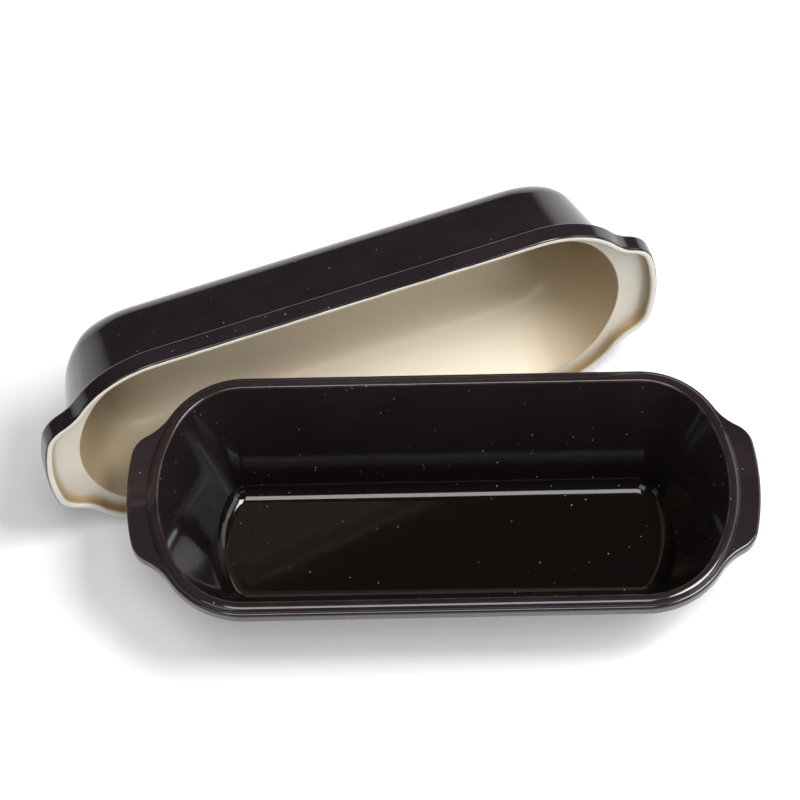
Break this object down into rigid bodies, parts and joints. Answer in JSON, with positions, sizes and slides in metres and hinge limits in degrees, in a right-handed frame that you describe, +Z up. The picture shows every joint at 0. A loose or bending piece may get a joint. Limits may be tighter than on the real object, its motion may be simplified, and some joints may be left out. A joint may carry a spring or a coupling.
{
  "type": "bread cloche",
  "caption": "Long covered baking dish for bread: a deep glazed ceramic base with grip lugs at its ends and a domed lid that leans behind it.",
  "frame": {"origin": "centre of the foot of the base, on the floor", "axes": "+X along the length of the base, to the right; +Y to the back, where the lid stands; +Z up"},
  "size_m": [0.4335, 0.2707, 0.1711],
  "materials": {
    "base_glaze": "satin charcoal glaze with fine light specks, unglazed clay on the foot",
    "lid_glaze": "satin charcoal glaze outside, cream glaze inside the skirt and the dome"
  },
  "bodies": {
    "base": {"base": "base_glaze"},
    "lid": {"lid": "lid_glaze"}
  },
  "joints": [
    {"name": "lid_lift", "type": "slide", "parent": "base", "child": "lid", "axis": [-0.2232, 0.671, 0.7071], "range_m": [0, 0.25]}
  ]
}
